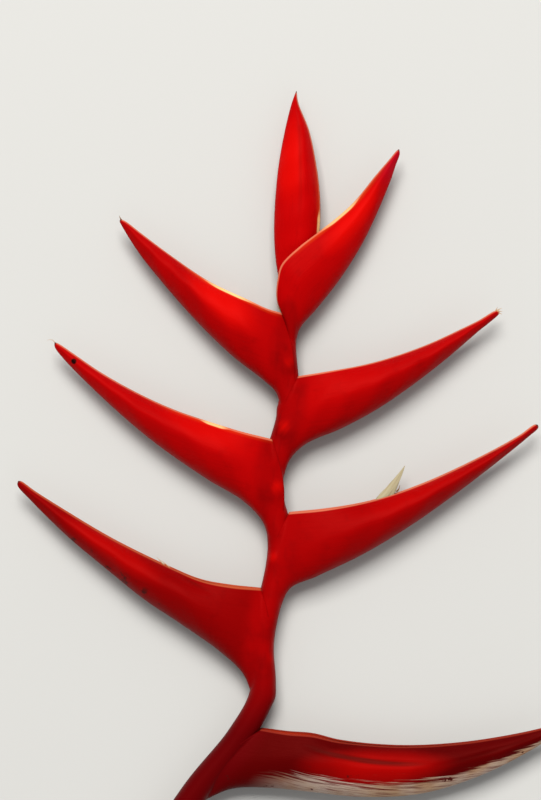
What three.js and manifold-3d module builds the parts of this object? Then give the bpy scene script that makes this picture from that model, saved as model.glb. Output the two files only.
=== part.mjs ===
// A heliconia inflorescence, cut and laid on its side: a zigzag stem with eight boat-shaped bracts,
// set alternately right and left, and the slender flowers that sit inside the open boats.
// Millimetres. The flower lies in the XY plane with its top towards +Y, and +Z is up from the table.
import * as THREE from 'three';
import Module from 'manifold-3d';

const wasm = await Module();
wasm.setup();

// Driving dimensions
const HALF_WIDTH = 12.5;       // a full-grown bract, from its middle plane to the bulge of one flank
const WALL = 1.5;              // thickness of a bract's flank
const GAP = 0.3;               // clearance between pieces that touch
const CLASP = 8;               // half-width of a bract where its flanks clasp the stem
const CLASP_BOW = 5;           // how far the clasping edge bows across the stem
const SWELL_AT = 0.25;         // share of a bract's length at which it is widest
const TAPER = 1.4;             // how late a bract narrows from there to its tip, 1 being evenly
const MOUTH = 0.34;            // width of the open mouth as a share of the bract's width
const MOUTH_NARROWS = [0, 0.35];  // shares of the length between which the clasp gives way to it
const MOUTH_END = 0.84;        // share of the length at which the mouth has closed
const TIP_HALF_WIDTH = 1;
const TIP_END = 0.985;         // share of the length at which the tip is cut blunt
const BULGE_DEPTH = 0.46;      // where the bulge lies, as a share of the way from mouth to keel
const FLANK_TURNS = [22, 48, 90];  // degrees from the keel round to the bulge at which points lie
const LEAN_AT = 0.3;           // share of the length over which the way to the stem is measured
const ABOVE_MOUTH = 3;         // how far the hollow is cut past the mouth's line

// Shares of a bract's length at which its section is drawn
const OUTSIDE_SECTIONS = [0.012, 0.05, 0.11, 0.18, 0.26, 0.36, 0.47, 0.58, 0.69, 0.8, 0.9, TIP_END];
const INSIDE_SECTIONS = [0, 0.05, 0.11, 0.18, 0.26, 0.36, 0.47, 0.58, 0.69, MOUTH_END];

// Points of the drawings below are [x, y], counted from the middle of the stem's cut end.
const STEM = {
  line: [
    [0, 0], [28, 43], [50, 70.5], [61, 91.5], [61, 118], [69.5, 163], [66, 199],
    [75, 235.5], [73, 265.5], [74.5, 285],
  ],
  radiusAtCut: 7,
  radiusAtTop: 5,
  growingPoint: 2.5,
  narrowsFrom: 0.94,
  steps: 26,
  sides: 12,
};

// Each bract has the line of its mouth and the line of its keel, both drawn from the stem to the tip.
const BRACTS = [
  {
    name: 'bract_1',
    flowers: 3,
    mouth: [[60.5, 74], [74, 72], [86.5, 71], [100, 68], [130, 65.5], [160, 67], [190, 71.8],
      [208, 76.4], [216.5, 80], [218, 79.6]],
    keel: [[32.5, 39], [46, 44], [65, 44.5], [85, 42.5], [110, 40], [140, 41.5], [170, 50.5],
      [195, 63], [210, 72.6], [218.2, 78.2], [218, 79.6]],
  },
  {
    name: 'bract_2',
    flowers: 3,
    mouth: [[60.5, 144], [45, 145.5], [30.5, 148.5], [16, 154.5], [-13.5, 169], [-41, 185.5],
      [-53, 193.2], [-59.4, 197.8], [-61, 198]],
    keel: [[55, 91], [51.5, 101.5], [40, 112.5], [21, 126], [2, 138.7], [-17, 154],
      [-32.5, 166.8], [-42.5, 176], [-54, 187.5], [-61.3, 195.8], [-61, 198]],
  },
  {
    name: 'bract_3',
    flowers: 3,
    withered: true,
    mouth: [[74.5, 182], [94, 184], [118, 188.8], [142, 197], [172, 211], [190, 221],
      [197.5, 226.2], [199, 226]],
    keel: [[70.5, 133], [75, 144], [88, 150], [112, 161.5], [136, 176], [160, 193],
      [182, 210], [194, 219.8], [199.2, 224.6], [199, 226]],
  },
  {
    name: 'bract_4',
    flowers: 3,
    mouth: [[66, 218.5], [52, 222], [34, 227.7], [16, 234], [-2, 242.3], [-20, 252.5],
      [-33.3, 261.6], [-40.6, 266.5], [-42.8, 267.4]],
    keel: [[63.5, 165.5], [62, 177.5], [52.3, 188], [34, 198.5], [10, 215], [-8, 229.7],
      [-26, 246.4], [-38.6, 259.4], [-42.6, 264.8], [-42.8, 267.4]],
  },
  {
    name: 'bract_5',
    flowers: 3,
    mouth: [[79, 250], [94, 252.5], [118, 257.5], [142, 265.5], [162, 274.6], [170, 278.6],
      [177, 282.8], [179.3, 283.4]],
    keel: [[73, 199], [75, 208.5], [83, 216.4], [100, 223.8], [118, 233.4], [136, 245.6],
      [154, 259.6],
      [169.6, 273], [175, 277.3], [179.8, 282], [179.3, 283.4]],
  },
  {
    name: 'bract_6',
    flowers: 3,
    halfWidth: 11.5,
    mouth: [[71, 281.5], [64, 283.5], [52, 289.2], [34, 298], [16, 310.2], [0, 322.2],
      [-7, 327.6], [-9.8, 328.9]],
    keel: [[69.5, 232], [68.5, 242], [62.5, 248.5], [46, 260.5], [28, 278], [10, 298.5], [-0.8, 312.2],
      [-9.2, 325.6], [-10.2, 327.8], [-9.8, 328.9]],
  },
  {
    name: 'bract_7',
    buds: 2,
    halfWidth: 11.5,
    clasp: 9.5,
    bow: 0,
    mouthNarrows: [0.3, 0.7],
    mouth: [[71, 283], [68.7, 288], [68.4, 292], [68.9, 298], [71, 305.5], [80, 314.5],
      [90, 322.5], [106, 336.3], [117.6, 350.4], [124.6, 358.6], [128.2, 362.9], [129.6, 363.9]],
    keel: [[78.5, 264.5], [80, 274], [88, 283.5], [100, 298.8], [112.4, 318.8], [125.3, 348],
      [127.8, 355.5], [129.9, 361.5], [129.6, 363.9]],
  },
];

// The topmost bract is still shut round itself, so it is a solid spindle with a seam on its right.
const SPINDLE = {
  name: 'bract_8',
  baseHalfWidth: 3,
  halfWidth: 8,
  widestAt: 0.55,
  taper: 1.8,
  steps: 16,
  sides: 12,
  seam: [[77.5, 286], [83.5, 298], [88.2, 310.5], [90, 325.5], [90, 340.5], [88.3, 355],
    [84.6, 373], [79.2, 387], [78.3, 393]],
  keel: [[73.5, 286], [70, 297], [68, 307], [67, 324], [68.8, 352], [72.4, 373], [75.9, 387],
    [78.1, 393]],
};

// A flower lies along its boat, from start through bend to end of the boat's length, and rises from
// deep in the boat to shallow, both as shares of the way from mouth to keel: a shallow under 0
// stands out of the mouth. Spacing is from one flower to the next, and flat is how thick a flower
// is as a share of its breadth.
const FLOWER = {
  start: 0.1, bend: 0.28, end: 0.46, deep: 0.66, shallow: 0.36, radius: 2.3, flat: 1, spacing: 5.3,
};
const BUD = {
  start: 0.36, bend: 0.48, end: 0.6, deep: 0.7, shallow: 0.5, radius: 1.7, flat: 1, spacing: 4.4,
};
const WITHERED = {
  start: 0.1, bend: 0.33, end: 0.417, deep: 0.66, shallow: -0.55, radius: 3, flat: 0.5, spacing: 0,
};
const SPREADS = [0.75, 1.1, 0.8];  // shares of the spacing at a flower's foot, bend and end
const SAG = 0.06;                  // how much deeper than its foot a flower's bend lies
const FLOWER_STEPS = 9;
const FLOWER_SIDES = 6;

const FINISH = {
  stem: { color: 0x9c0a08, roughness: 0.45, metalness: 0 },
  bract: { color: 0xb80404, roughness: 0.38, metalness: 0 },
  flower: { color: 0xe8e3a8, roughness: 0.5, metalness: 0 },
  bud: { color: 0xbfcf7a, roughness: 0.5, metalness: 0 },
  withered: { color: 0xc9a878, roughness: 0.85, metalness: 0 },
};

const flower = new THREE.Group();

function piece(name, solid, finish) {
  const { vertProperties, triVerts } = solid.getMesh();
  const geometry = new THREE.BufferGeometry();
  geometry.setAttribute('position', new THREE.BufferAttribute(vertProperties, 3));
  geometry.setIndex(new THREE.BufferAttribute(triVerts, 1));
  const mesh = new THREE.Mesh(geometry, new THREE.MeshStandardMaterial(finish));
  mesh.name = name;
  flower.add(mesh);
}

// Joins rings of points, all with the same count, into a closed solid with a fan over each end ring.
// The rings run clockwise as seen from the last one, so that the faces point out.
function loft(rings) {
  const sides = rings[0].length;
  const middle = (ring) => ring
    .reduce((sum, point) => sum.add(point), new THREE.Vector3())
    .divideScalar(sides);
  const points = [...rings.flat(), middle(rings[0]), middle(rings.at(-1))];
  const triangles = [];
  const lastRing = (rings.length - 1) * sides;
  for (let side = 0; side < sides; side += 1) {
    const next = (side + 1) % sides;
    for (let base = 0; base < lastRing; base += sides) {
      triangles.push(base + side, base + sides + side, base + sides + next);
      triangles.push(base + side, base + sides + next, base + next);
    }
    triangles.push(points.length - 2, side, next);
    triangles.push(points.length - 1, lastRing + next, lastRing + side);
  }
  return new wasm.Manifold(new wasm.Mesh({
    numProp: 3,
    vertProperties: new Float32Array(points.flatMap((point) => point.toArray())),
    triVerts: new Uint32Array(triangles),
  }));
}

function largestBody(solid) {
  return solid.decompose().reduce((a, b) => (a.volume() > b.volume() ? a : b));
}

function curveThrough(points) {
  return new THREE.CatmullRomCurve3(points.map(([x, y]) => new THREE.Vector3(x, y, 0)));
}

function ringAngles(sides) {
  return Array.from({ length: sides }, (_, side) => (side / sides) * 2 * Math.PI);
}

// How far something has narrowed by a share of its length: 0 until it starts, and 1 at the end.
function narrowing(along, start, power) {
  return Math.max(0, (along - start) / (1 - start)) ** power;
}

// How far something has swollen on the way to its widest place: 0 at its foot, and 1 there.
function swelling(along, widest) {
  return Math.sin(Math.min(along / widest, 1) * (Math.PI / 2));
}

// Round stem

const stemLine = curveThrough(STEM.line);

function stemSolid(clearance) {
  const rings = [];
  for (let step = 0; step <= STEM.steps; step += 1) {
    const along = step / STEM.steps;
    const centre = stemLine.getPointAt(along);
    const tangent = stemLine.getTangentAt(along);
    const across = new THREE.Vector3(tangent.y, -tangent.x, 0);
    const stalk = THREE.MathUtils.lerp(STEM.radiusAtCut, STEM.radiusAtTop, along);
    const narrowed = narrowing(along, STEM.narrowsFrom, 1);
    const radius = THREE.MathUtils.lerp(stalk, STEM.growingPoint, narrowed) + clearance;
    rings.push(ringAngles(STEM.sides).map((angle) => centre.clone()
      .addScaledVector(across, radius * Math.cos(angle))
      .add(new THREE.Vector3(0, 0, radius * Math.sin(angle)))));
  }
  return loft(rings);
}

// Boats

function shapeOf(bract) {
  const widest = bract.halfWidth ?? HALF_WIDTH;
  const clasp = bract.clasp ?? CLASP;
  const bow = bract.bow ?? CLASP_BOW;
  const narrows = bract.mouthNarrows ?? MOUTH_NARROWS;
  const mouth = curveThrough(bract.mouth);
  const keel = curveThrough(bract.keel);
  const toStem = mouth.getPoint(0).sub(mouth.getPointAt(LEAN_AT)).normalize();
  return {
    // Share 0 lies on the mouth's line and share 1 on the keel's.
    pointAt(along, share) {
      const fade = Math.max(0, 1 - along / SWELL_AT) ** 2;
      const bowed = bow * fade * 4 * Math.max(0, share * (1 - share));
      return mouth.getPointAt(along)
        .lerp(keel.getPointAt(along), share)
        .addScaledVector(toStem, bowed);
    },
    halfWidthAt(along) {
      const full = THREE.MathUtils.lerp(clasp + GAP, widest, swelling(along, SWELL_AT));
      return THREE.MathUtils.lerp(full, TIP_HALF_WIDTH, narrowing(along, SWELL_AT, TAPER));
    },
    mouthAt(along) {
      const narrowed = THREE.MathUtils.smoothstep(along, ...narrows);
      return THREE.MathUtils.lerp(clasp, MOUTH * this.halfWidthAt(along), narrowed);
    },
    depthAt(along) {
      return mouth.getPointAt(along).distanceTo(keel.getPointAt(along));
    },
    flip: keel.getPointAt(LEAN_AT).sub(mouth.getPointAt(LEAN_AT)).cross(toStem).z > 0,
  };
}

// One ring of a boat: from the keel up one flank to the mouth, and down the other flank.
function boatRing(shape, along, inset, aboveMouth) {
  const wide = Math.max(shape.halfWidthAt(along) - inset, 0.1);
  const mouth = Math.max(shape.mouthAt(along) - inset, 0.1);
  const depth = Math.max(shape.depthAt(along), 1);
  const keelShare = 1 - inset / depth;
  const flank = FLANK_TURNS.map((degrees) => {
    const turn = THREE.MathUtils.degToRad(degrees);
    return [BULGE_DEPTH + (keelShare - BULGE_DEPTH) * Math.cos(turn), wide * Math.sin(turn)];
  });
  // Half-way from the bulge to the mouth the flank has turned in by only a third.
  flank.push([BULGE_DEPTH / 2, THREE.MathUtils.lerp(wide, mouth, 1 / 3)]);
  flank.push([-aboveMouth / depth, mouth]);
  const up = flank.map(([share, height]) => shape.pointAt(along, share).setZ(height));
  const down = flank.map(([share, height]) => shape.pointAt(along, share).setZ(-height));
  const ring = [shape.pointAt(along, keelShare), ...up, ...down.reverse()];
  return shape.flip ? ring.reverse() : ring;
}

function boat(shape) {
  const skin = loft(OUTSIDE_SECTIONS.map((along) => boatRing(shape, along, 0, 0)));
  const hollow = loft(INSIDE_SECTIONS.map((along) => boatRing(shape, along, WALL, ABOVE_MOUTH)));
  return skin.subtract(hollow);
}

// Spindle

function spindleSolid() {
  const seam = curveThrough(SPINDLE.seam);
  const keel = curveThrough(SPINDLE.keel);
  const rings = [];
  for (let step = 0; step <= SPINDLE.steps; step += 1) {
    const along = Math.min(step / SPINDLE.steps, TIP_END);
    const swell = swelling(along, SPINDLE.widestAt);
    const full = THREE.MathUtils.lerp(SPINDLE.baseHalfWidth, SPINDLE.halfWidth, swell);
    const narrowed = narrowing(along, SPINDLE.widestAt, SPINDLE.taper);
    const wide = THREE.MathUtils.lerp(full, TIP_HALF_WIDTH, narrowed);
    rings.push(ringAngles(SPINDLE.sides).map((angle) => keel.getPointAt(along)
      .lerp(seam.getPointAt(along), (1 - Math.cos(angle)) / 2)
      .setZ(-wide * Math.sin(angle))));
  }
  return loft(rings);
}

// Flowers

function flowerSolid(shape, kind, place) {
  const heights = SPREADS.map((spread) => place * kind.spacing * spread);
  const line = new THREE.QuadraticBezierCurve3(
    shape.pointAt(kind.start, kind.deep).setZ(heights[0]),
    shape.pointAt(kind.bend, kind.deep + SAG).setZ(heights[1]),
    shape.pointAt(kind.end, kind.shallow).setZ(heights[2]),
  );
  const rings = [];
  for (let step = 0; step <= FLOWER_STEPS; step += 1) {
    const along = step / FLOWER_STEPS;
    const tangent = line.getTangentAt(along);
    const across = new THREE.Vector3(tangent.y, -tangent.x, 0).normalize();
    const up = new THREE.Vector3().crossVectors(across, tangent);
    // The foot is nearly half as thick as the middle, and the end comes to a small blunt point.
    const radius = kind.radius * Math.sin(Math.PI * THREE.MathUtils.lerp(0.15, 0.93, along));
    rings.push(ringAngles(FLOWER_SIDES).map((angle) => line.getPointAt(along)
      .addScaledVector(across, radius * Math.cos(angle))
      .addScaledVector(up, radius * kind.flat * Math.sin(angle))));
  }
  return loft(rings);
}

piece('rachis', stemSolid(0), FINISH.stem);
const stemAndGap = stemSolid(GAP);

BRACTS.forEach((bract, index) => {
  const shape = shapeOf(bract);
  const number = index + 1;
  piece(bract.name, largestBody(boat(shape).subtract(stemAndGap)), FINISH.bract);
  for (let count = 0; count < (bract.flowers ?? 0); count += 1) {
    const place = count - (bract.flowers - 1) / 2;
    if (bract.withered && place === 0) {
      piece('withered_flower', flowerSolid(shape, WITHERED, place), FINISH.withered);
    } else {
      piece(`flower_${number}_${count + 1}`, flowerSolid(shape, FLOWER, place), FINISH.flower);
    }
  }
  for (let count = 0; count < (bract.buds ?? 0); count += 1) {
    const place = count - (bract.buds - 1) / 2;
    piece(`bud_${number}_${count + 1}`, flowerSolid(shape, BUD, place), FINISH.bud);
  }
});

piece(SPINDLE.name, spindleSolid(), FINISH.bract);

// The origin is on the table, under the middle of the whole flower.
const box = new THREE.Box3().setFromObject(flower);
const centre = box.getCenter(new THREE.Vector3());
flower.position.set(-centre.x, -centre.y, -box.min.z);

export default flower;
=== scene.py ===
import bpy
import numpy as np
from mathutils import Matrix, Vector


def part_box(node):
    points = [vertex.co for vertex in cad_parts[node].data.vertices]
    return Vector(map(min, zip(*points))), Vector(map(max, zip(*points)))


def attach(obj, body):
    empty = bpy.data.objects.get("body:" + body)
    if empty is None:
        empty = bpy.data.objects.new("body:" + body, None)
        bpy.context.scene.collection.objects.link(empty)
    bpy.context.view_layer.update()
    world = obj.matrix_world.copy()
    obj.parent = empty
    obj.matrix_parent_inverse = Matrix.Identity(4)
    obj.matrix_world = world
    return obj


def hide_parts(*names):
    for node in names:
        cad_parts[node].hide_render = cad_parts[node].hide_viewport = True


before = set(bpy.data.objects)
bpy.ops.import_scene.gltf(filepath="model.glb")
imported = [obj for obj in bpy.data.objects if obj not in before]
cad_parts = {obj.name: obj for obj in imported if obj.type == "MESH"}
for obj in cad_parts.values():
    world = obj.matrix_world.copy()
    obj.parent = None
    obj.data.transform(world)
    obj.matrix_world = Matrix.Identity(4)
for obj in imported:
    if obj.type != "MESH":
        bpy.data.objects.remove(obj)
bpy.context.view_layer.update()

MM = 0.001

# ---------------------------------------------------------------------------------------------
# The stem. One zigzag red axis carries every bract and bends away from each one in turn. It is a
# firm waxy stalk, a little swollen where a bract joins it, and was cut across at its lower end.
# ---------------------------------------------------------------------------------------------
# Outlines are in millimetres from the middle of the cut, x to the right and y towards the top.
STEM_LINE = [
    (0, 0), (28, 43), (50, 70.5), (61, 91.5), (61, 118), (69.5, 163), (66, 199),
    (74.5, 235.5), (73, 265.5), (74.5, 285),
]
STEM_RADIUS_AT_CUT = 7.0
STEM_RADIUS_AT_TOP = 5.0
GROWING_POINT_RADIUS = 2.5
GROWING_POINT_FROM = 0.94   # share of the length at which the stem begins to thin out
CUT_ROUNDING = (0.45, 0.1)   # how far the first rings draw in, which rounds the cut's edge
# Small knobs where a flower's stalk presses from inside: x, y, upper or lower side, height, reach.
KNOBS = [
    (74.5, 257, 1, 0.8, 3), (71.8, 225, 1, 1, 3.2), (68.6, 195, 1, 1, 3.2), (66, 160, 1, 0.9, 3),
    (67.5, 109, 1, 0.9, 3.6), (71.5, 242, -1, 0.9, 3.2), (70, 207, -1, 0.8, 3),
    (67, 174, -1, 1, 3.4), (64, 131, -1, 0.8, 3), (78, 272, -1, 0.7, 3),
]
# Low swellings of the stem's outline: share of its length, side, height.
STEM_LUMPS = [(0.36, 1, 0.7), (0.50, -1, 0.6), (0.655, 1, 0.6), (0.69, -1, 0.7), (0.83, -1, 0.6)]
STEM_LUMP_REACH = 0.011
STEM_RED = (0.27, 0.0004, 0.0008, 1)
STEM_SHADE = (0.12, 0.0003, 0.0008, 1)
# Painted highlight: the knobs are painted brighter where light falls on them.
STEM_KNOB_HIGHLIGHT = (0.8, 0.004, 0.001, 1)
# Painted shadow: a dark maroon laid over the stem's lower end.
STEM_FOOT_SHADOW = (0.085, 0.0003, 0.001, 1)
FOOT_SHADOW_HEIGHTS = (72, 122)   # heights between which the painted shadow over the stem's foot fades into its red
CUT_PITH = (0.62, 0.5, 0.3, 1)
CUT_STRANDS = (0.3, 0.17, 0.07, 1)
CUT_RIM = (0.16, 0.012, 0.008, 1)
RIND_FROM = (0.0054, 0.0066)   # metres from the middle between which pith turns to rind


class Line:
    """A smooth line through a few points, read by the share of its length."""

    def __init__(self, points, steps=40):
        knots = np.array(points, float)
        ends = 2 * knots[0] - knots[1], 2 * knots[-1] - knots[-2]
        knots = np.vstack([ends[0], knots, ends[1]])
        gaps = np.sqrt(np.linalg.norm(np.diff(knots, axis=0), axis=1))
        t = np.linspace(0, 1, steps, endpoint=False)[:, None]
        found = []
        for before, start, stop, after, g0, g1, g2 in zip(
            knots, knots[1:], knots[2:], knots[3:], gaps, gaps[1:], gaps[2:]
        ):
            leave = g1 * ((start - before) / g0 - (stop - before) / (g0 + g1) + (stop - start) / g1)
            arrive = g1 * ((stop - start) / g1 - (after - start) / (g1 + g2) + (after - stop) / g2)
            found.append(
                start
                + leave * t
                + (3 * (stop - start) - 2 * leave - arrive) * t**2
                + (2 * (start - stop) + leave + arrive) * t**3
            )
        self.points = np.vstack([*found, knots[-2]])
        steps = np.linalg.norm(np.diff(self.points, axis=0), axis=1)
        self.length = steps.sum()
        self.shares = np.concatenate([[0], np.cumsum(steps)]) / self.length

    def at(self, share):
        return np.stack([np.interp(share, self.shares, axis) for axis in self.points.T], -1)

    def heading(self, share):
        ahead = self.at(np.minimum(share + 0.004, 1)) - self.at(np.maximum(share - 0.004, 0))
        return ahead / np.linalg.norm(ahead, axis=-1, keepdims=True)


def smooth(value, low, high):
    t = np.clip((value - low) / (high - low), 0, 1)
    return t * t * (3 - 2 * t)


stem_line = Line(STEM_LINE)
stem_low, stem_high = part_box("rachis")
first_heading = stem_line.heading(np.array(0.0))
CUT_MIDDLE = np.array([
    stem_low.x + STEM_RADIUS_AT_CUT * MM * first_heading[1],
    stem_low.y + STEM_RADIUS_AT_CUT * MM * first_heading[0],
    (stem_low.z + stem_high.z) / 2,
])


def in_frame(points):
    return np.asarray(points) * MM + CUT_MIDDLE


def loft(name, rings, body="root", **notes):
    """A closed mesh over rings of points, capped at both ends; notes are numbers per point."""
    count, sides = rings.shape[:2]
    start = np.arange(count - 1)[:, None] * sides
    side = np.arange(sides)[None, :]
    following = (side + 1) % sides
    faces = np.stack(
        [start + side, start + following, start + sides + following, start + sides + side], -1
    ).reshape(-1, 4)
    caps = [list(range(sides))[::-1], list(range((count - 1) * sides, count * sides))]
    mesh = bpy.data.meshes.new(name)
    mesh.from_pydata(in_frame(rings.reshape(-1, 3)).tolist(), [], faces.tolist() + caps)
    for note, values in notes.items():
        layer = mesh.attributes.new(note, "FLOAT", "POINT")
        per_point = np.broadcast_to(values, (count, sides)).ravel().astype("f4")
        layer.data.foreach_set("value", per_point)
    mesh.shade_smooth()
    made = bpy.data.objects.new(name, mesh)
    bpy.context.scene.collection.objects.link(made)
    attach(made, body)
    return made


class Socket:
    """A socket in a material. Arithmetic on it adds Math nodes, and node() adds any other."""

    def __init__(self, tree, socket=None):
        self.tree = tree
        self.socket = socket

    def node(self, kind, settings=None, inputs=None, output=0):
        made = self.tree.nodes.new("ShaderNode" + kind)
        for name, value in (settings or {}).items():
            setattr(made, name, value)
        for name, value in (inputs or {}).items():
            if isinstance(value, Socket):
                self.tree.links.new(value.socket, made.inputs[name])
            else:
                made.inputs[name].default_value = value
        return Socket(self.tree, made.outputs[output])

    def maths(self, operation, *values):
        return self.node("Math", {"operation": operation}, dict(enumerate(values)))

    def __add__(self, other):
        return self.maths("ADD", self, other)

    def __sub__(self, other):
        return self.maths("SUBTRACT", self, other)

    def __mul__(self, other):
        return self.maths("MULTIPLY", self, other)

    def __truediv__(self, other):
        return self.maths("DIVIDE", self, other)

    def __pow__(self, other):
        return self.maths("POWER", self, other)

    def __rsub__(self, other):
        return self.maths("SUBTRACT", other, self)

    def __rtruediv__(self, other):
        return self.maths("DIVIDE", other, self)

    def __rpow__(self, other):
        return self.maths("POWER", other, self)

    __radd__ = __add__
    __rmul__ = __mul__

    def size(self):
        return self.maths("ABSOLUTE", self)

    def step(self, low, high):
        """0 below low and 1 above high, with a soft slope between, or the other way round."""
        rising = high > low
        return self.node(
            "MapRange",
            {"interpolation_type": "SMOOTHSTEP"},
            {"Value": self, "From Min": min(low, high), "From Max": max(low, high),
             "To Min": 0.0 if rising else 1.0, "To Max": 1.0 if rising else 0.0},
        )

    def over(self, under, mask):
        """This colour laid over another one where the mask is 1."""
        return self.node(
            "Mix", {"data_type": "RGBA"}, {"Factor": mask, 6: under, 7: self}, output=2
        )


class Finish:
    """A material with one Principled shader, and short ways to read what its mesh holds."""

    def __init__(self, name, **constants):
        self.material = bpy.data.materials.new(name)
        self.material.use_nodes = True
        self.tree = self.material.node_tree
        self.shader = self.tree.nodes["Principled BSDF"]
        self.add = Socket(self.tree)
        for socket, value in constants.items():
            self.shader.inputs[socket.replace("_", " ")].default_value = value

    def note(self, name):
        settings = {"attribute_type": "GEOMETRY", "attribute_name": name}
        return self.add.node("Attribute", settings, output="Fac")

    def place(self):
        return self.add.node("TexCoord", output="Object")

    def paint(self, colour):
        made = self.add.node("RGB")
        made.socket.default_value = colour
        return made

    def noise(self, where, scale, detail=3.0, roughness=0.55):
        return self.add.node(
            "TexNoise", {}, {"Vector": where, "Scale": scale, "Detail": detail,
                             "Roughness": roughness},
        )

    def distance(self, where, point):
        return self.add.node(
            "VectorMath", {"operation": "DISTANCE"}, {0: where, 1: tuple(point)}, output="Value"
        )

    def set(self, **links):
        for name, value in links.items():
            self.tree.links.new(value.socket, self.shader.inputs[name.replace("_", " ")])

    def bump(self, height, distance, strength=1.0):
        made = self.add.node(
            "Bump", {}, {"Height": height, "Distance": distance, "Strength": strength}
        )
        self.set(Normal=made)


def around(count):
    return np.linspace(0, 2 * np.pi, count, endpoint=False)


def stem_radius(share):
    stalk = STEM_RADIUS_AT_CUT + (STEM_RADIUS_AT_TOP - STEM_RADIUS_AT_CUT) * share
    narrowed = np.clip((share - GROWING_POINT_FROM) / (1 - GROWING_POINT_FROM), 0, 1)
    stalk = stalk + (GROWING_POINT_RADIUS - stalk) * narrowed
    return stalk - 0.25 * (1 - smooth(share, 0, 0.02))


def knob_rise(points, upper):
    """How much the knobs raise the surface over points of the middle plane."""
    rise = np.zeros(points.shape[:-1])
    for x, y, side, height, reach in KNOBS:
        gap = np.hypot(points[..., 0] - x, points[..., 1] - y)
        rise += (upper == (side > 0)) * height * np.exp(-((gap / reach) ** 2))
    return rise


def make_stem():
    shares = np.concatenate([[0, 0.0012, 0.003], np.linspace(0.006, 1, 300)])
    turn = around(48)
    centre = stem_line.at(shares)
    heading = stem_line.heading(shares)
    across = np.stack([heading[:, 1], -heading[:, 0]], -1)
    radius = stem_radius(shares)[:, None] * np.ones_like(turn)
    radius[:2] -= np.array(CUT_ROUNDING)[:, None]
    for where, side, height in STEM_LUMPS:
        near = np.exp(-(((shares - where) / STEM_LUMP_REACH) ** 2))[:, None]
        radius += height * near * np.clip(side * np.cos(turn), 0, 1) ** 2
    rings = np.zeros((len(shares), len(turn), 3))
    rings[..., :2] = centre[:, None] + across[:, None] * (radius * np.cos(turn))[..., None]
    height = radius * np.sin(turn)
    knob = knob_rise(rings[..., :2], height > 0) * np.abs(np.sin(turn))
    rings[..., 2] = height + np.sign(height) * knob
    return loft("stem", rings, along=shares[:, None] * stem_line.length, knob=knob)


def stem_paint(finish):
    """The stem's red, with streaks along it, a painted highlight on each knob and a painted shadow
    over its foot.
    """
    where = finish.place()
    stretched = finish.add.node("Mapping", {}, {"Vector": where, "Scale": (260.0, 70.0, 260.0)})
    streaks = finish.noise(stretched, 1.0, 4.0)
    cloud = finish.noise(where, 60.0)
    colour = finish.paint(STEM_SHADE).over(finish.paint(STEM_RED), cloud.step(0.4, 0.75) * 0.55)
    colour = finish.paint(STEM_SHADE).over(colour, streaks.step(0.5, 0.75) * 0.25)
    # Painted highlight: each knob is painted brighter, as if lit from above.
    knob = finish.note("knob").step(0.02, 1.1) * 0.34
    colour = finish.paint(STEM_KNOB_HIGHLIGHT).over(colour, knob)
    # Painted shadow: the stem is darkened to maroon below the given heights.
    y = finish.add.node("SeparateXYZ", {}, {"Vector": where}, output="Y")
    low, high = [float(in_frame((0, height, 0))[1]) for height in FOOT_SHADOW_HEIGHTS]
    return finish.paint(STEM_FOOT_SHADOW).over(colour, (y + cloud * 0.01).step(high, low)), streaks


def stem_finish():
    finish = Finish("stem_red", Specular_IOR_Level=0.09, Specular_Tint=(1, 0.12, 0.1, 1))
    colour, streaks = stem_paint(finish)
    finish.set(Base_Color=colour, Roughness=0.38 + streaks * 0.16)
    finish.bump(streaks, 0.0002, 0.5)
    return finish.material


def cut_finish():
    """The cut face: pale wet pith with darker strands, inside a thin red rind."""
    finish = Finish("cut_pith")
    place = finish.place()
    cells = finish.add.node(
        "TexVoronoi", {"feature": "F1"}, {"Vector": place, "Scale": 900.0}, output="Distance"
    )
    from_middle = finish.distance(place, CUT_MIDDLE)
    colour = finish.paint(CUT_STRANDS).over(finish.paint(CUT_PITH), cells.step(0.32, 0.12))
    colour = finish.paint(CUT_RIM).over(colour, from_middle.step(*RIND_FROM))
    finish.set(Base_Color=colour, Roughness=0.45 + cells * 0.5)
    finish.bump(cells, 0.0003, 0.6)
    return finish.material


stem = make_stem()
stem.data.materials.append(stem_finish())
stem.data.materials.append(cut_finish())
stem.data.polygons[-2].material_index = 1
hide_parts("rachis")

# ---------------------------------------------------------------------------------------------
# The open bracts. Each is one thick waxy leaf folded along its keel into a boat, with its mouth
# towards the top of the flower. Its flanks clasp the stem and run smoothly into it, and its mouth
# has a thin pale rim. The tips dry out first, and the lowest bract is old and scuffed.
# ---------------------------------------------------------------------------------------------
HALF_WIDTH = 12.4
WALL = 1.25
RIM = 0.75
CLASP_HALF_WIDTH = 4.5
SWELL_AT = 0.25
BULGE_DEPTH = 0.44
MOUTH_SHARE = 0.36
MOUTH_SHARE_AT_CLASP = 0.92
TAPER = 1.4                # how late a bract narrows to its tip, 1 being evenly
BULGE_TURN = 0.55          # way round the flank, from the keel, at which it bulges most
SHALLOWEST = 1.2           # depth that the wall is worked out for where the tip is thinner
TIP_HALF_WIDTH = 1.1
NOSE_FROM = 0.97
BOW = 7.0
MAIN_RED = (0.475, 0.0005, 0.0008, 1)
# Painted light: the red of a bright lit patch on a flank.
LIT_RED = (1.0, 0.003, 0.001, 1)
DARK_RED = (0.045, 0.0002, 0.0006, 1)
ORANGE = (0.8, 0.12, 0.012, 1)
CREAM_RIM = (0.84, 0.52, 0.22, 1)
PINK_RIM = (0.56, 0.15, 0.08, 1)
DULL_RIM = (0.42, 0.08, 0.03, 1)
DARK_RIM = (0.22, 0.02, 0.01, 1)
CRIMSON = (0.62, 0.003, 0.02, 1)
DRY_TIP = (0.1, 0.012, 0.008, 1)
STRAW = (0.5, 0.32, 0.17, 1)
WORN_GREY = (0.5, 0.4, 0.33, 1)
WORN_TAN = (0.42, 0.27, 0.16, 1)
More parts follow.
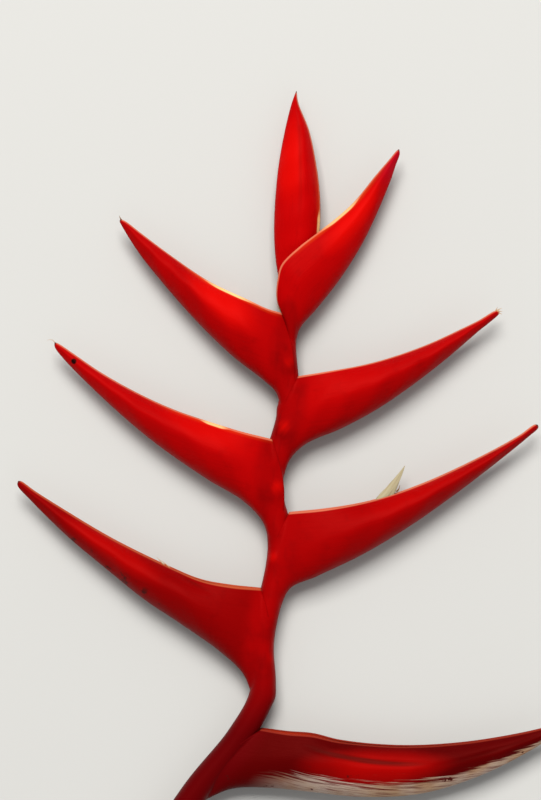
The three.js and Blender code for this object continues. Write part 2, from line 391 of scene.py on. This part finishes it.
# Dark scratches and specks, and also the painted shade in the creases.
SCRATCH_AND_CREASE_SHADE = (0.05, 0.004, 0.003, 1)
ROT = (0.006, 0.001, 0.001, 1)
LINING = (0.46, 0.03, 0.01, 1)

# Mouth and keel lines run from the stem to the tip.
BRACTS = {
    "bract_1": dict(
        creases=[(0.14, 0.56, 0.1, 0.34, 1.3), (0.5, 0.95, 0.5, 0.3, 0.5)],
        mouth=[(60.5, 74), (74, 72), (86.5, 71), (100, 68), (130, 65.5), (160, 67), (190, 71.8),
               (208, 76.4), (216.5, 80), (218, 79.6)],
        keel=[(31.5, 38), (46, 44), (65, 44.5), (85, 42.5), (110, 40), (140, 41.5), (170, 50.5),
              (195, 63), (210, 72.6), (218.2, 78.2), (218, 79.6)],
    ),
    "bract_2": dict(
        creases=[(0.17, 0.33, 0.17, 0.05, 0.6)],
        mouth=[(60.5, 144), (45, 145.5), (30.5, 148.5), (16, 154.5), (-13.5, 169), (-41, 185.5),
               (-53, 193.2), (-59.4, 197.8), (-61, 198)],
        keel=[(56.5, 89), (51.5, 101.5), (40, 112.5), (21, 126), (2, 138.7), (-17, 154),
              (-32.5, 166.8), (-42.5, 176), (-54, 187.5), (-61.3, 195.8), (-61, 198)],
    ),
    "bract_3": dict(
        mouth=[(74.5, 182), (94, 184), (118, 188.8), (142, 197), (172, 211), (190, 221),
               (197.5, 226.2), (199, 226)],
        keel=[(69, 131), (75, 144), (88, 150), (112, 161.5), (136, 176), (160, 193),
              (182, 210), (194, 219.8), (199.2, 224.6), (199, 226)],
    ),
    "bract_4": dict(
        mouth=[(66, 218.5), (52, 222), (34, 227.7), (16, 234), (-2, 242.3), (-20, 252.5),
               (-33.3, 261.6), (-40.6, 266.5), (-42.8, 267.4)],
        keel=[(65, 163.5), (61.5, 177), (52, 187.5), (34, 198.5), (10, 215), (-8, 229.7),
              (-26, 246.4), (-38.6, 259.4), (-42.6, 264.8), (-42.8, 267.4)],
    ),
    "bract_5": dict(
        mouth=[(79, 250), (94, 252.5), (118, 257.5), (142, 265.5), (162, 274.6), (170, 278.6),
               (177, 282.8), (179.3, 283.4)],
        keel=[(71, 197), (75, 208.5), (83, 216.4), (100, 223.8), (118, 233.4), (136, 245.6),
              (154, 259.6), (169.6, 273), (175, 277.3), (179.8, 282), (179.3, 283.4)],
    ),
    "bract_6": dict(
        half_width=11.4,
        mouth=[(71, 281.5), (64, 283.5), (52, 289.2), (34, 298), (16, 310.2), (0, 322.2),
               (-7, 327.6), (-9.8, 328.9)],
        keel=[(71, 229.5), (68, 242), (62, 248), (46, 260.5), (28, 278), (10, 298.5),
              (-0.8, 312.2), (-9.2, 325.6), (-10.2, 327.8), (-9.8, 328.9)],
    ),
    "bract_7": dict(
        half_width=11.4,
        bow=0.0,
        mouth_narrows=(0.3, 0.7),
        mouth=[(71, 281.5), (68.8, 287), (68.3, 292), (68.9, 298), (71, 305.5), (80, 314.5),
               (90, 322.5), (106, 336.3), (117.6, 350.4), (124.6, 358.6), (128.2, 362.9),
               (129.6, 363.9)],
        keel=[(77, 262), (80, 274), (88, 283.5), (100, 298.8), (112.4, 318.8), (125.3, 348),
              (127.8, 355.5), (129.9, 361.5), (129.6, 363.9)],
    ),
}


class Boat:
    """The shape of one bract: where a point lies by its share of the length and of the depth."""

    def __init__(self, mouth, keel, half_width=HALF_WIDTH, bow=BOW, mouth_narrows=(0, 0.35),
                 swell_at=SWELL_AT, clasp=CLASP_HALF_WIDTH, mouth_share=MOUTH_SHARE,
                 creases=(), on_stem=True):
        self.mouth = Line(mouth)
        self.keel = Line(keel)
        self.half_width = half_width
        self.bow = bow
        self.mouth_narrows = mouth_narrows
        self.swell_at = swell_at
        self.clasp = clasp
        self.mouth_share = mouth_share
        self.creases = creases
        self.on_stem = on_stem
        inward = self.mouth.at(0) - self.mouth.at(0.3)
        self.inward = inward / np.linalg.norm(inward)
        self.length = (self.mouth.length + self.keel.length) / 2

    def point(self, along, depth):
        """The point in the middle plane: depth 0 is the mouth and 1 is the keel."""
        mouth = self.mouth.at(along)
        keel = self.keel.at(along)
        fade = np.clip(1 - along / self.swell_at, 0, 1) ** 2
        bowed = self.bow * fade * 4 * np.clip(depth * (1 - depth), 0, 1)
        return mouth + (keel - mouth) * depth[..., None] + self.inward * bowed[..., None]

    def depth(self, along):
        return np.linalg.norm(self.mouth.at(along) - self.keel.at(along), axis=-1)

    def width(self, along):
        swell = np.sin(np.clip(along / self.swell_at, 0, 1) * np.pi / 2)
        taper = np.clip((along - self.swell_at) / (1 - self.swell_at), 0, 1) ** TAPER
        full = self.clasp + (self.half_width - self.clasp) * swell
        nose = np.clip((along - NOSE_FROM) / (1 - NOSE_FROM), 0, 1)
        return (full + (TIP_HALF_WIDTH - full) * taper) * np.sqrt(1 - nose**2)

    def opening(self, along):
        """Half the width of the mouth."""
        share = MOUTH_SHARE_AT_CLASP + (self.mouth_share - MOUTH_SHARE_AT_CLASP) * smooth(
            along, *self.mouth_narrows
        )
        return self.width(along) * share

    def folds(self, along, depth):
        """How deep the creases in the flank are, in millimetres."""
        deep = 0 * along * depth
        for start, stop, depth_at_start, depth_at_stop, fall in self.creases:
            through = np.clip((along - start) / (stop - start), 0, 1)
            line = depth_at_start + (depth_at_stop - depth_at_start) * np.sqrt(through)
            window = np.sin(np.pi * through) ** 0.7
            away = (depth - line) * self.depth(along)
            deep += fall * window * np.exp(-((away / 1.5) ** 2))
        return deep

    def relief(self, along, depth):
        """Slow swellings of the flank less its creases, in millimetres."""
        phase = self.length
        waves = 0.3 * np.sin(along * 21 + phase) * np.sin(depth * 5 + phase * 0.7)
        waves += 0.2 * np.sin(along * 47 + phase * 1.3 + depth * 4)
        waves *= smooth(along, 0.05, 0.2) * (1 - smooth(along, 0.85, 1)) * depth**0.5
        return waves - self.folds(along, depth)


def stem_height(points):
    """How high the stem's round surface stands over points of the middle plane, how far a flank
    takes its shape there, and how far a flank takes its colour."""
    shares = np.linspace(0, 1, 360)
    line = stem_line.at(shares)
    gaps = np.linalg.norm(points[..., None, :] - line, axis=-1)
    nearest = gaps.argmin(-1)
    gap = gaps.min(-1)
    radius = stem_radius(shares)[nearest]
    height = np.sqrt(np.clip(radius**2 - gap**2, 0, None))
    near = 1 - smooth(gap, radius, 1.35 * radius)
    merged = 1 - smooth(gap, 0.8 * radius, 2.1 * radius)
    return height, near, merged


def flank_heights(boat, along, turn):
    """Depth share and height over one flank, for turn from 0 at the keel to 1 at the mouth."""
    wide = boat.width(along)
    opening = boat.opening(along)
    low = np.clip(turn / BULGE_TURN, 0, 1) * np.pi / 2
    high = np.clip((turn - BULGE_TURN) / (1 - BULGE_TURN), 0, 1)
    by_keel = turn <= BULGE_TURN
    # The keel is keener towards the tip.
    keen = 0.12 + 0.4 * along
    rising = (1 - keen) * np.sin(low) + keen * (1 - np.cos(low))
    depth = np.where(
        by_keel, BULGE_DEPTH + (1 - BULGE_DEPTH) * np.cos(low), BULGE_DEPTH * (1 - high)
    )
    height = np.where(by_keel, wide * rising, wide + (opening - wide) * high**2.1)
    fade = np.clip(turn / 0.3, 0, 1) * np.clip((1 - depth) / 0.2, 0, 1)
    return depth, height + boat.relief(along, depth) * fade


def boat_skins(boat):
    """The outer and the inner skin of one flank, from the keel to the mouth."""
    # Sections lie closer by the stem and at the tip, and points closer at the rim.
    along = np.concatenate([np.linspace(0, 0.3, 46), np.linspace(0.3, 0.96, 76)[1:],
                            np.linspace(0.96, 0.998, 12)[1:]])
    turn = np.concatenate([np.linspace(0, 0.2, 7), np.linspace(0.2, 0.97, 18)[1:], [0.99, 1]])
    u = along[:, None] * np.ones_like(turn)
    t = turn[None, :] * np.ones((len(along), 1))
    share, height = flank_heights(boat, u, t)
    deep = boat.depth(along)[:, None]
    # The inner skin lies a wall's thickness inside, square to the outer one. The wall thins to
    # the rim, and to the tip where the bract itself is thin.
    across = share * np.maximum(deep, SHALLOWEST)
    slope_d = np.gradient(across, axis=1)
    slope_h = np.gradient(height, axis=1)
    size = np.hypot(slope_d, slope_h) + 1e-9
    wall = WALL + (RIM - WALL) * smooth(t, 0.6, 1.0)
    wall = np.minimum(wall, 0.42 * boat.width(u))
    wall = np.minimum(wall, 0.3 * np.maximum(deep, 1.0))
    inner_across = across - slope_h / size * wall
    inner_height = np.maximum(height + slope_d / size * wall, 0.04)
    inner_height[:, 0] = 0
    inner_share = inner_across / np.maximum(deep, SHALLOWEST)
    outer = boat.point(u, share)
    merged = 0 * height
    if boat.on_stem:
        stem_up, near, merged = stem_height(outer)
        # Over the stem the flank rises to a soft union of both surfaces, with a low lip.
        lip = 0.05 - 0.3 * (1 - smooth(u, 0, 0.04)) * smooth(share, 0.1, 0.4)
        lip = lip + 0.5 * np.clip(1 - 3 * share, 0, 1) ** 1.5
        soft = 2.4 * smooth(u, 0, 0.1)
        union = 0.5 * (height + stem_up + lip + np.hypot(height - stem_up - lip, soft))
        height = height + (union - height) * near * smooth(t, 0, 0.12)
    inner = boat.point(u, inner_share)
    return along, outer, height, inner, inner_height, share, deep, merged


def winds_inwards(boat):
    """Whether the rings run the way round that turns the faces of this bract inwards."""
    across = boat.keel.at(0.3) - boat.mouth.at(0.3)
    return across[0] * boat.inward[1] - across[1] * boat.inward[0] >= 0


def over_rim(outside, rim, inside):
    """Values up the outer skin, over the rim and back down the inner skin."""
    return np.concatenate([outside, rim, inside[:, ::-1]], 1)


def both_flanks(values, sign=1):
    """The values of one flank, then those of the other one, back to where they began."""
    return np.concatenate([values, sign * values[:, 1:-1][:, ::-1]], 1)


def make_boat(name, boat):
    along, outer, height, inner, inner_height, share, deep, merged = boat_skins(boat)
    # The rim is a half round from the edge of the outer skin to the edge of the inner one.
    rim_turn = np.linspace(0, np.pi, 6)[1:-1]
    middle = (outer[:, -1] + inner[:, -1])[:, None] / 2
    half = (height[:, -1] - inner_height[:, -1])[:, None] / 2
    middle_height = (height[:, -1] + inner_height[:, -1])[:, None] / 2
    out = boat.mouth.at(along) - boat.point(along, np.full(len(along), 0.3))
    out = (out / (np.linalg.norm(out, axis=-1, keepdims=True) + 1e-9))[:, None]
    rim = middle + out * (np.abs(half) * np.sin(rim_turn))[..., None]
    rim_height = middle_height + half * np.cos(rim_turn)
    side = over_rim(
        np.dstack([outer, height]), np.dstack([rim, rim_height]), np.dstack([inner, inner_height])
    )
    ring = both_flanks(side, np.array((1, 1, -1)))

    none = np.zeros_like(rim_height)
    part = both_flanks(over_rim(share, none, share))
    inside = both_flanks(over_rim(0 * height, none + 0.4, 0 * height + 1))
    on_outside = inside == 0
    knob = knob_rise(ring[..., :2], ring[..., 2] > 0) * on_outside * boat.on_stem
    ring[..., 2] += np.sign(ring[..., 2]) * knob
    notes = dict(
        along=along[:, None] * np.ones(ring.shape[1]),
        share=part,
        edge=both_flanks(over_rim(share * deep, none, share * deep)),
        inside=inside,
        flank=both_flanks(np.ones(side.shape[:2]), -1),
        fold=boat.folds(along[:, None], part) * on_outside,
        knob=knob,
        merged=both_flanks(over_rim(merged, none, 0 * merged)),
    )
    if winds_inwards(boat):
        ring = ring[:, ::-1]
        notes = {note: values[:, ::-1] for note, values in notes.items()}
    return loft(name, ring, **notes)


def bract_finish(name, tone=1.0, painted_light=(0.3, 0.2, 0.0), cream=(0.3, 0.1), rim=PINK_RIM,
                 tip=(DRY_TIP, 0.985), crimson=0.0, worn=0.0, brow=0.0, specks=0.0, spot=None):
    """Waxy red with fine veins along the bract, a painted patch of light, painted shade towards the
    keel, by the stem and in the creases, a pale rim and a dry tip.
    """
    finish = Finish(name, Specular_IOR_Level=0.09, Specular_Tint=(1, 0.12, 0.1, 1))
    along = finish.note("along")
    share = finish.note("share")
    edge = finish.note("edge")
    inside = finish.note("inside")
    flank = finish.note("flank")
    place = finish.place()
    cloud = finish.noise(place, 28.0, 3.0)
    mottle = finish.noise(place, 150.0, 4.0, 0.6)
    veins = finish.add.node("CombineXYZ", {}, {"X": along * 6.0, "Y": edge * 0.9, "Z": flank * 3.0})
    vein = finish.noise(veins, 1.0, 5.0, 0.6)
    fine = finish.add.node("CombineXYZ", {}, {"X": along * 14.0, "Y": edge * 3.5, "Z": flank * 3.0})
    fine_vein = finish.noise(fine, 1.0, 3.0, 0.5)

    def near(length_share, depth_share, length_reach, depth_reach):
        across = ((along - length_share) / length_reach) ** 2.0
        down = ((share - depth_share) / depth_reach) ** 2.0
        return (across + down + cloud * 0.5).step(1.5, 0.15)

    main = tuple(channel * tone for channel in MAIN_RED[:3]) + (1,)
    light_at, light_down, light_strength = painted_light
    colour = finish.paint(DARK_RED).over(
        finish.paint(main), vein.step(0.5, 0.8) * 0.17 + mottle.step(0.5, 0.75) * 0.12
    )
    # Painted light: a bright patch where light falls on and through the flank.
    colour = finish.paint(LIT_RED).over(colour, near(light_at, light_down, 0.22, 0.4) * light_strength)
    if crimson:
        colour = finish.paint(CRIMSON).over(colour, along.step(0.78, 0.92) * crimson)
    # Painted shade: darker towards the keel, at the neck by the stem and, where brow is set, near
    # the mouth.
    neck = along.step(0.22, 0.03) * share.step(0.3, 0.85)
    top = (share + cloud * 0.2).step(0.4, 0.15) * brow
    shade = share.step(0.68, 0.98) * 0.92 + neck * 0.35 + top
    colour = finish.paint(DARK_RED).over(colour, shade.maths("MINIMUM", 1.0))
    # The stem's paint runs onto the flank where the two merge, with its painted highlight on the
    # knobs and its painted shadow over the foot.
    colour = stem_paint(finish)[0].over(colour, finish.note("merged"))
    # Painted shade in the creases: darker where the fold note is deep.
    colour = finish.paint(SCRATCH_AND_CREASE_SHADE).over(colour, finish.note("fold").step(0.15, 1.1) * 0.75)
    cream_at, cream_reach = cream
    glow = edge.step(2.6, 0.4) * near(cream_at, cream_reach, 0.3, 2.0) * min(3 * cream_reach, 0.3)
    colour = finish.paint(ORANGE).over(colour, glow)
    if worn:
        bare = (share + vein * 0.9 + flank * 0.07).step(1.19, 1.34) * along.step(0.1, 0.3)
        scuffed = finish.paint(WORN_GREY).over(finish.paint(WORN_TAN), cloud.step(0.4, 0.6))
        colour = scuffed.over(colour, bare * worn)
        streak = fine_vein.step(0.5, 0.62) * 0.75
        colour = finish.paint(main).over(colour, streak * bare)
        colour = finish.paint(SCRATCH_AND_CREASE_SHADE).over(colour, mottle.step(0.66, 0.7) * share.step(0.4, 0.7))
    if specks:
        low = share.step(0.6, 0.85) * along.step(0.3, 0.4) * along.step(0.85, 0.7)
        colour = finish.paint(SCRATCH_AND_CREASE_SHADE).over(colour, mottle.step(0.55, 0.62) * low * specks)
    if spot:
        away = finish.distance(place, in_frame(spot))
        colour = finish.paint(ROT).over(colour, (away + mottle * 0.0008).step(0.0021, 0.0014))
    colour = finish.paint(LINING).over(colour, inside.step(0.5, 1.0))
    creamy = (along - cream_at).size().step(cream_reach * 1.6, cream_reach * 0.5)
    margin = finish.paint(CREAM_RIM).over(finish.paint(rim), creamy)
    colour = margin.over(colour, (edge - creamy * 0.8).step(0.85, 0.3) * (0.5 + cloud * 0.6))
    tip_colour, tip_from = tip
    colour = finish.paint(tip_colour).over(
        colour, (along + vein * 0.02 - 0.01).step(tip_from, tip_from + 0.008)
    )
    finish.set(Base_Color=colour, Roughness=0.36 + fine_vein * 0.16 + vein * 0.08)
    finish.bump(fine_vein * 0.4 + vein * 0.6 + mottle * 0.5, 0.0004, 0.4)
    return finish.material


# Where and how strongly each bract has a painted patch of light, where its margin is cream and how
# far that reaches.
LOOKS = {
    "bract_1": dict(tone=0.2, painted_light=(0.4, 0.42, 0.5), cream=(0.3, 0.0), rim=DARK_RIM, worn=0.9,
                    brow=0.6),
    "bract_2": dict(tone=0.74, painted_light=(0.6, 0.3, 0.35), cream=(0.2, 0.0), rim=DULL_RIM,
                    specks=1.0),
    "bract_3": dict(tone=1.05, painted_light=(0.5, 0.1, 0.2), cream=(0.3, 0.0)),
    "bract_4": dict(tone=1.33, painted_light=(0.3, 0.05, 0.6), cream=(0.25, 0.045),
                    spot=(-32.9, 257.6, 3.2)),
    "bract_5": dict(tone=1.26, painted_light=(0.25, 0.25, 0.2), cream=(0.24, 0.0), tip=(STRAW, 0.985)),
    "bract_6": dict(tone=1.26, painted_light=(0.36, 0.22, 0.95), cream=(0.31, 0.11)),
    "bract_7": dict(tone=1.4, painted_light=(0.62, 0.4, 1.0), cream=(0.59, 0.09), crimson=0.7),
}
boats = {}
for name, outline in BRACTS.items():
    boats[name] = Boat(**outline)
    bract = make_boat(name + "_boat", boats[name])
    bract.data.materials.append(bract_finish(name + "_red", **LOOKS[name]))
    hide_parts(name)

# ---------------------------------------------------------------------------------------------
# The topmost bract. It is still shut round the ones to come, with its margins pressed together
# along its right side, and its foot is held inside the bract below it.
# ---------------------------------------------------------------------------------------------
spindle_boat = Boat(
    mouth=[(77.5, 286), (83.5, 298), (88.2, 310.5), (90, 325.5), (90, 340.5), (88.3, 355),
           (84.6, 373), (79.2, 387), (78.3, 393)],
    keel=[(73.5, 286), (70, 297), (68, 307), (67, 324), (68.8, 352), (72.4, 373), (75.9, 387),
          (78.1, 393)],
    half_width=7.9, bow=0.0, swell_at=0.55, clasp=3.0, mouth_share=0.12, mouth_narrows=(-1, 0),
    creases=[(0.3, 1.0, 0.5, 0.4, 0.5)], on_stem=False,
)
spindle = make_boat("top_spindle", spindle_boat)
spindle_red = bract_finish("spindle_red", tone=1.52, painted_light=(0.68, 0.7, 1.0), cream=(0.38, 0.05))
spindle.data.materials.append(spindle_red)
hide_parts("bract_8")

# ---------------------------------------------------------------------------------------------
# The true flowers. Three narrow waxy flowers lie side by side in each open boat, on short stalks
# from its foot: a swollen green ovary, then six cream petals pressed together, with green ends.
# The boat next to the top holds two buds. One flower has dried, and its papery end stands out.
# ---------------------------------------------------------------------------------------------
# A flower lies from start to end of its boat's length and rises from deep to shallow.
FLOWER = dict(start=0.1, bend=0.28, end=0.46, deep=0.66, shallow=0.36, radius=2.25, spacing=5.3)
BUD = dict(start=0.36, bend=0.48, end=0.6, deep=0.7, shallow=0.5, radius=1.7, spacing=4.4)
WITHERED = dict(start=0.1, bend=0.33, end=0.417, deep=0.66, shallow=-0.55, radius=3.3, spacing=0.0)
FLOWER_FORM = [(0, 0.5), (0.06, 0.55), (0.16, 0.95), (0.27, 0.7), (0.55, 0.95), (0.8, 0.8),
               (0.95, 0.42), (1, 0.12)]
WITHERED_FORM = [(0, 0.3), (0.16, 0.4), (0.3, 0.3), (0.55, 0.55), (0.7, 1), (0.76, 1), (0.87, 0.6),
                 (0.96, 0.22), (1, 0.05)]
OVARY_GREEN = (0.3, 0.4, 0.09, 1)
PETAL_CREAM = (0.85, 0.76, 0.42, 1)
PETAL_GREEN = (0.24, 0.38, 0.08, 1)
DRY_BROWN = (0.2, 0.1, 0.035, 1)
PAPER = (0.38, 0.33, 0.2, 1)


def flower_line(boat, place, start, bend, end, deep, shallow, spacing, **_):
    """Points along the flower's middle, from the boat's foot to the flower's end."""
    marks = [(start, deep, 0.75), (bend, deep + 0.06, 1.1), (end, shallow, 0.8)]
    first, bend, last = [
        np.append(boat.point(np.array(along), np.array(depth)), place * spacing * spread)
        for along, depth, spread in marks
    ]
    t = np.linspace(0, 1, 70)[:, None]
    return (1 - t) ** 2 * first + 2 * t * (1 - t) * bend + t**2 * last


def tube(name, middle, heading, radius, turn, thin=1.0):
    """A closed tube along a line, which thin flattens towards the table."""
    across = np.cross(heading, (0, 0, 1))
    across /= np.linalg.norm(across, axis=1, keepdims=True)
    up = np.cross(across, heading)
    rings = middle[:, None] + across[:, None] * (radius * np.cos(turn))[..., None]
    rings = rings + up[:, None] * (radius * thin * np.sin(turn))[..., None]
    t = np.linspace(0, 1, len(middle))[:, None]
    return loft(name, rings, along=t, side=np.cos(turn), rise=np.sin(turn))


def make_flower(name, boat, kind, place, form, flatness=1.0, furrows=0.1, crumple=0.0):
    line = flower_line(boat, place, **kind)
    t = np.linspace(0, 1, len(line))
    heading = np.gradient(line, axis=0)
    heading /= np.linalg.norm(heading, axis=1, keepdims=True)
    turn = around(36)
    spots, sizes = np.array(form).T
    radius = kind["radius"] * np.interp(t, spots, sizes)[:, None]
    petals = smooth(t, 0.25, 0.4)[:, None]
    radius = radius * (1 + petals * furrows * (np.abs(np.cos(1.5 * turn + place)) ** 0.5 - 0.8))
    radius = radius * (1 + petals * crumple * np.sin(turn * 5 + t[:, None] * 40))
    thin = 1 - (1 - flatness) * smooth(t, 0.35, 0.65)[:, None]
    return tube(name, line, heading, radius, turn, thin)


def flower_finish(name, colours, dryness=0.0):
    ovary, petal, end = colours
    finish = Finish(name, Specular_IOR_Level=0.35)
    along = finish.note("along")
    mottle = finish.noise(finish.place(), 420.0, 3.0)
    grain = finish.add.node(
        "CombineXYZ", {},
        {"X": finish.note("side") * 4.0, "Y": finish.note("rise") * 4.0, "Z": along * 1.5},
    )
    streak = finish.noise(grain, 1.0, 4.0)
    colour = finish.paint(petal).over(finish.paint(ovary), (along + mottle * 0.08).step(0.2, 0.36))
    colour = finish.paint(end).over(colour, (along + mottle * 0.1).step(0.74, 0.98))
    colour = finish.paint(DRY_BROWN).over(colour, streak.step(0.48, 0.7) * (0.15 + 0.4 * dryness))
    finish.set(Base_Color=colour, Roughness=0.42 + mottle * 0.2 + 0.25 * dryness)
    finish.bump(streak, 0.0003, 0.4 + 0.4 * dryness)
    return finish.material


fresh = flower_finish("flower_cream", (OVARY_GREEN, PETAL_CREAM, PETAL_GREEN))
young = flower_finish("bud_green", (OVARY_GREEN, PETAL_GREEN, PETAL_CREAM))
dry = flower_finish("withered_straw", (DRY_BROWN, PAPER, PAPER), dryness=1.0)

for number in range(1, 7):
    for count in (1, 2, 3):
        node = f"flower_{number}_{count}"
        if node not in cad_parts:
            continue
        made = make_flower(
            node + "_petals", boats[f"bract_{number}"], FLOWER, count - 2, FLOWER_FORM
        )
        made.data.materials.append(fresh)
        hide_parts(node)

for count in (1, 2):
    made = make_flower(
        f"bud_7_{count}_shut", boats["bract_7"], BUD, count - 1.5, FLOWER_FORM
    )
    made.data.materials.append(young)
    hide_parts(f"bud_7_{count}")

withered = make_flower(
    "withered_flower_paper", boats["bract_3"], WITHERED, 0, WITHERED_FORM,
    flatness=0.3, furrows=0.25, crumple=0.06,
)
withered.data.materials.append(dry)
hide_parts("withered_flower")

# ---------------------------------------------------------------------------------------------
# Dried threads. Where a bract's tip or margin has dried, its fibres come apart and curl: a frayed
# tip, a hair and a dark stub at other tips, a tuft at a margin's foot, a flake on another margin.
# ---------------------------------------------------------------------------------------------
# Threads of one kind have a colour, a radius at the foot, and the points that each runs through.
THREADS = {
    "bract_5_frays": ("straw", 0.34, [
        [(178.2, 282.9, 0.3), (179.8, 283.9, 0.5), (180.9, 284.2, 0.9)],
        [(178.6, 282.3, -0.2), (180, 282.8, -0.5), (181.2, 282.6, -0.3)],
        [(177.3, 282.4, 0.6), (178.3, 284, 1.1), (178.6, 284.9, 1.6)],
        [(178.8, 281.8, 0.3), (180.2, 281.7, 0.8), (180.9, 281, 0.9)],
    ]),
    "bract_4_hair": ("straw", 0.2, [
        [(-42, 266.6, 0), (-43.9, 268.4, 0.3), (-45.6, 268.5, 0.5), (-46.4, 267.9, 0.8)],
    ]),
    "bract_6_stub": ("brown", 0.45, [
        [(-9, 328, 0), (-9.9, 329.4, 0.2), (-10.3, 330.6, 0.1)],
    ]),
    "bract_7_tuft": ("straw", 0.3, [
        [(70.3, 284.3, 2.6), (69.2, 286.4, 3.3), (69, 288.4, 3.4)],
        [(70.5, 283.5, 2.2), (69.1, 284.5, 2.9), (68.3, 286.2, 3.2)],
        [(71, 282.6, 2.8), (69.8, 283, 3.4), (69.2, 284.2, 3.8)],
    ]),
    "bract_2_flake": ("straw", 0.3, [
        [(15.2, 154.6, 3.2), (12.6, 156.9, 3.5), (9.6, 158.9, 3.3)],
        [(12.3, 156, 3.3), (10.3, 158, 3.8), (8.4, 160.2, 3.9)],
    ]),
    "withered_curl": ("brown", 0.45, [
        [(128.2, 192.6, 0.8), (129.3, 193.9, 1.2), (129.9, 195.9, 1)],
    ]),
}
THREAD_COLOURS = {"straw": STRAW, "brown": DRY_BROWN}


def make_threads(name, radius, routes):
    t = np.linspace(0, 1, 24)
    threads = []
    for number, route in enumerate(routes, 1):
        line = Line(route)
        thinning = radius * (1 - 0.85 * t[:, None])
        threads.append(tube(f"{name}_{number}", line.at(t), line.heading(t), thinning, around(8)))
    return threads


thread_finishes = {
    colour: flower_finish(f"thread_{colour}", (paint, paint, paint), dryness=0.6)
    for colour, paint in THREAD_COLOURS.items()
}
for name, (colour, radius, routes) in THREADS.items():
    for thread in make_threads(name, radius, routes):
        thread.data.materials.append(thread_finishes[colour])

# ---------------------------------------------------------------------------------------------
# The studio: a plain pale floor that the flower lies on, a broad soft lamp beyond its top, a
# weak fill from its foot, and a camera that looks straight down.
# ---------------------------------------------------------------------------------------------
VIEW_MIDDLE = (65.25, 238.4)
VIEW_HEIGHT = 0.4
LENS = 135.0
SENSOR_WIDTH = 36.0

bpy.ops.mesh.primitive_plane_add(size=8, location=(0, 0, -0.0003))
floor = bpy.context.object
floor.name = "floor"
floor_finish = Finish("floor_pale", Roughness=0.9)
floor_finish.shader.inputs["Base Color"].default_value = (0.5, 0.5, 0.485, 1)
floor.data.materials.append(floor_finish.material)


def lamp(name, place, size, power, colour):
    data = bpy.data.lights.new(name, "AREA")
    data.size = size
    data.energy = power
    data.color = colour
    made = bpy.data.objects.new(name, data)
    made.location = place
    made.rotation_mode = "QUATERNION"
    made.rotation_quaternion = (-Vector(place)).to_track_quat("-Z", "Y")
    bpy.context.scene.collection.objects.link(made)


lamp("key", (-0.3, 2.4, 3.8), 2.2, 284.0, (1.0, 0.98, 0.95))
lamp("fill", (0.8, -2.4, 2.8), 2.8, 8.0, (0.94, 0.97, 1.0))

world = bpy.data.worlds.new("studio")
bpy.context.scene.world = world
world.use_nodes = True
world.node_tree.nodes["Background"].inputs["Color"].default_value = (1.0, 1.0, 1.0, 1)
world.node_tree.nodes["Background"].inputs["Strength"].default_value = 0.4

view_middle = in_frame((*VIEW_MIDDLE, 0))
camera_data = bpy.data.cameras.new("camera")
camera_data.lens = LENS
camera_data.sensor_width = SENSOR_WIDTH
camera = bpy.data.objects.new("camera", camera_data)
camera.location = Vector(view_middle) + Vector((0, 0, VIEW_HEIGHT * LENS / SENSOR_WIDTH))
bpy.context.scene.collection.objects.link(camera)
bpy.context.scene.camera = camera
bpy.context.scene.view_settings.view_transform = "Standard"
